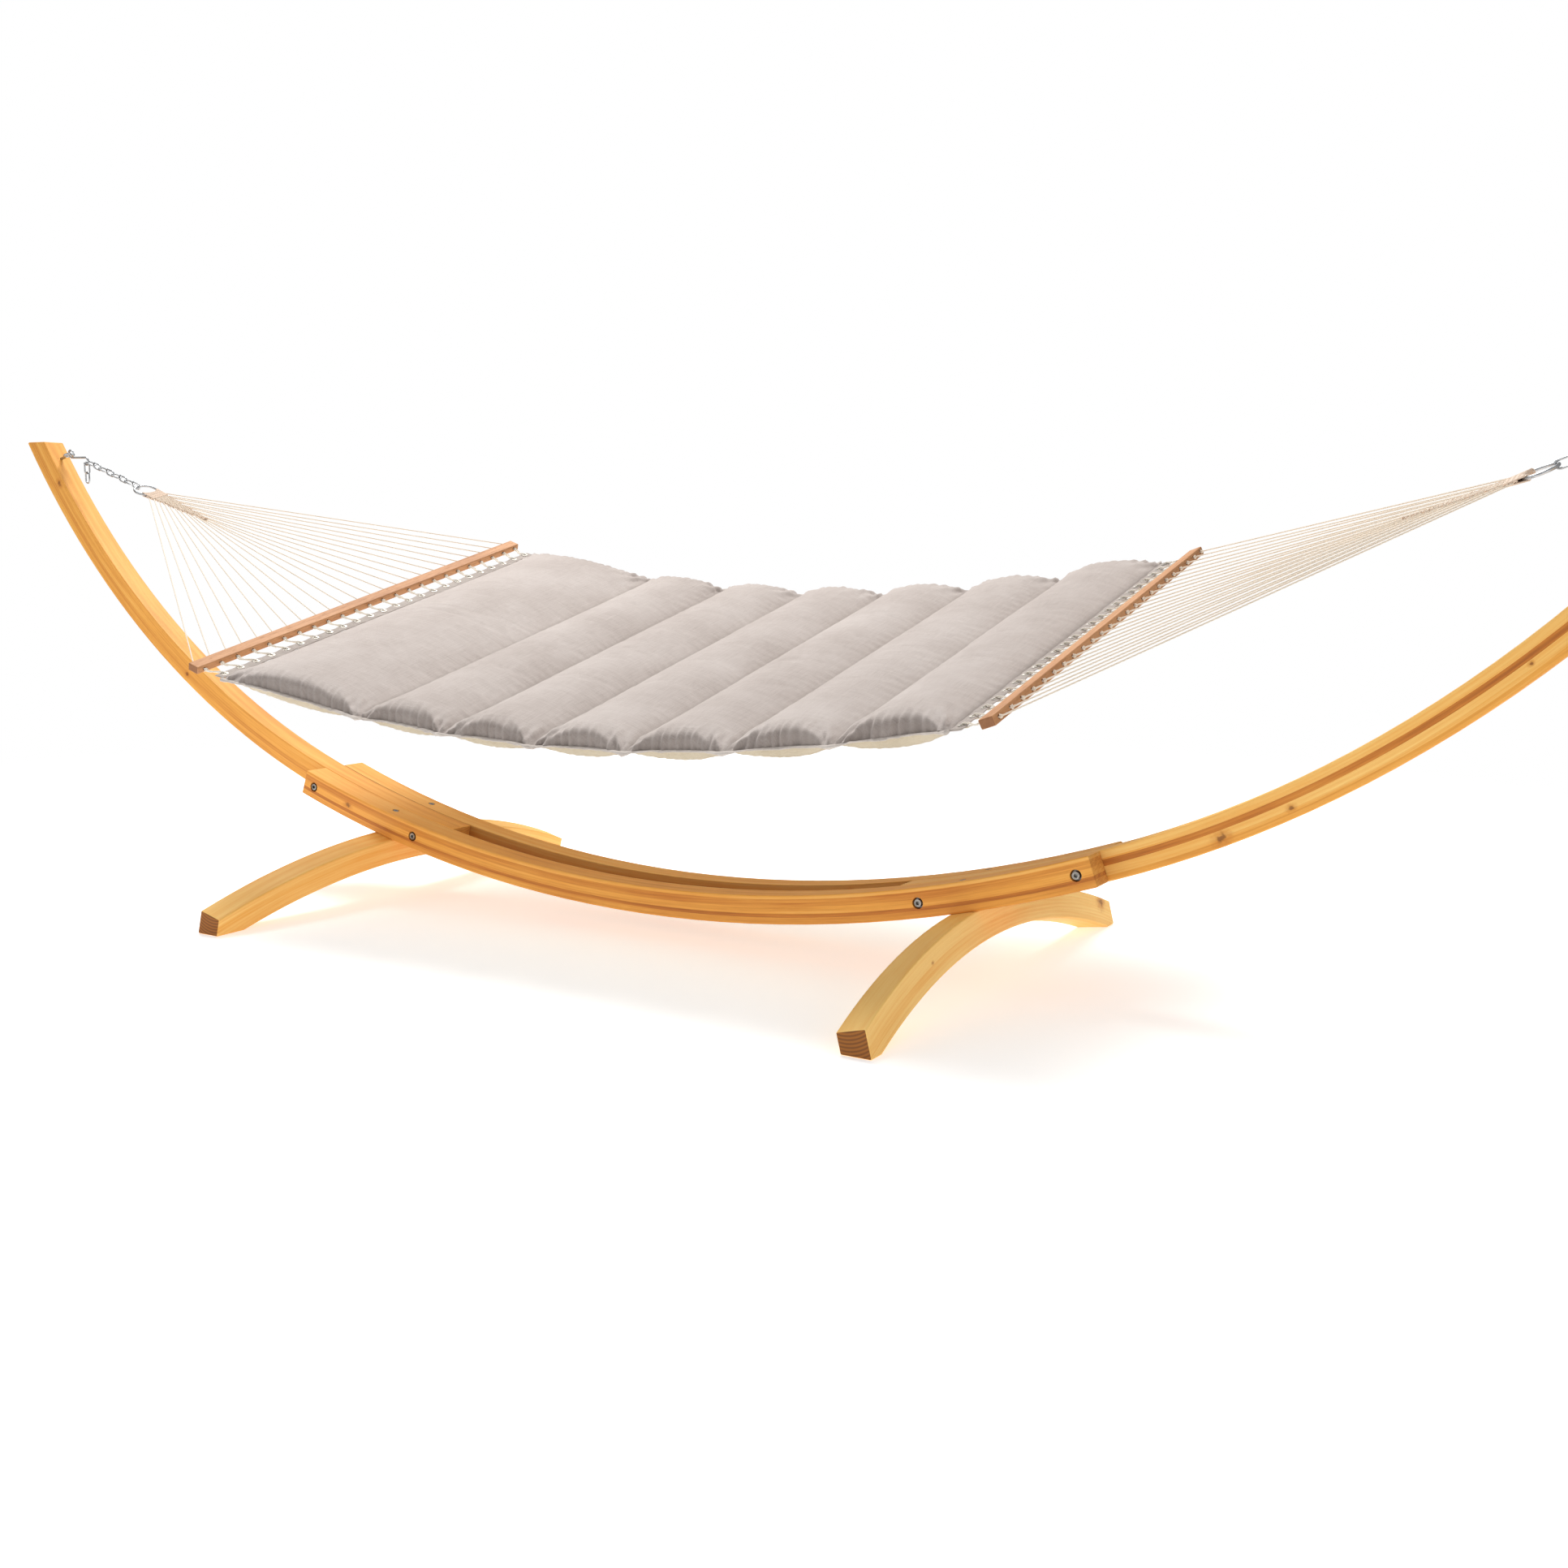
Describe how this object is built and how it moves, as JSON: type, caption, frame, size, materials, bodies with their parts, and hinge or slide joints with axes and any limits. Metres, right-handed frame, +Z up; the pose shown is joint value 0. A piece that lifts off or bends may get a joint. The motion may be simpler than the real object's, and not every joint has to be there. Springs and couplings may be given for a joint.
{
  "type": "hammock on stand",
  "caption": "Quilted spreader-bar hammock slung by ropes, rings and chains from the arm tips of a curved laminated timber stand on cross feet.",
  "frame": {"origin": "on the ground, under the middle of the stand", "axes": "+X along the stand towards its right arm, +Y across it away from the near edge of the bed, +Z up"},
  "size_m": [4.743, 1.4012, 1.237],
  "materials": {
    "timber": "satin",
    "oak": "satin",
    "steel": "satin",
    "rope": "matte",
    "top_fabric": "matte",
    "bottom_fabric": "matte",
    "hem": "matte",
    "fill": "matte"
  },
  "bodies": {
    "stand": {"front_rail": "timber", "rear_rail": "timber", "right_arm": "timber", "right_foot": "timber", "right_arm_bolts": "steel", "right_arm_washers": "steel", "right_arm_nuts": "steel", "right_foot_bolts": "steel", "right_foot_washers": "steel", "right_foot_nuts": "steel", "right_eye_bolt": "steel", "right_eye_washer": "steel", "right_eye_nut": "steel", "left_arm": "timber", "left_foot": "timber", "left_arm_bolts": "steel", "left_arm_washers": "steel", "left_arm_nuts": "steel", "left_foot_bolts": "steel", "left_foot_washers": "steel", "left_foot_nuts": "steel", "left_eye_bolt": "steel", "left_eye_washer": "steel", "left_eye_nut": "steel"},
    "hammock": {"right_hook": "steel", "right_chain": "steel", "right_ring": "steel", "right_spreader_bar": "oak", "right_clew_weave": "rope", "right_clew_cords": "rope", "right_bar_knots": "rope", "right_hem": "hem", "right_grommets": "steel", "right_lacing": "rope", "left_hook": "steel", "left_chain": "steel", "left_ring": "steel", "left_spreader_bar": "oak", "left_clew_weave": "rope", "left_clew_cords": "rope", "left_bar_knots": "rope", "left_hem": "hem", "left_grommets": "steel", "left_lacing": "rope", "top_cover": "top_fabric", "bottom_cover": "bottom_fabric", "fill_1": "fill", "fill_2": "fill", "fill_3": "fill", "fill_4": "fill", "fill_5": "fill", "fill_6": "fill", "fill_7": "fill"},
    "right_tail": {"right_chain_tail": "steel"},
    "left_tail": {"left_chain_tail": "steel"}
  },
  "joints": [
    {"name": "hammock_swing", "type": "hinge", "parent": "stand", "child": "hammock", "pos_m": [0, 0, 1.2], "axis": [1, 0, 0], "range_deg": [-39, 11]},
    {"name": "right_tail_swing", "type": "hinge", "parent": "hammock", "child": "right_tail", "pos_m": [2.15019, 0.00817, 1.16724], "axis": [1, 0, 0], "range_deg": [-15, 42]},
    {"name": "left_tail_swing", "type": "hinge", "parent": "hammock", "child": "left_tail", "pos_m": [-2.15019, 0.00817, 1.16724], "axis": [1, 0, 0], "range_deg": [-15, 42]}
  ]
}
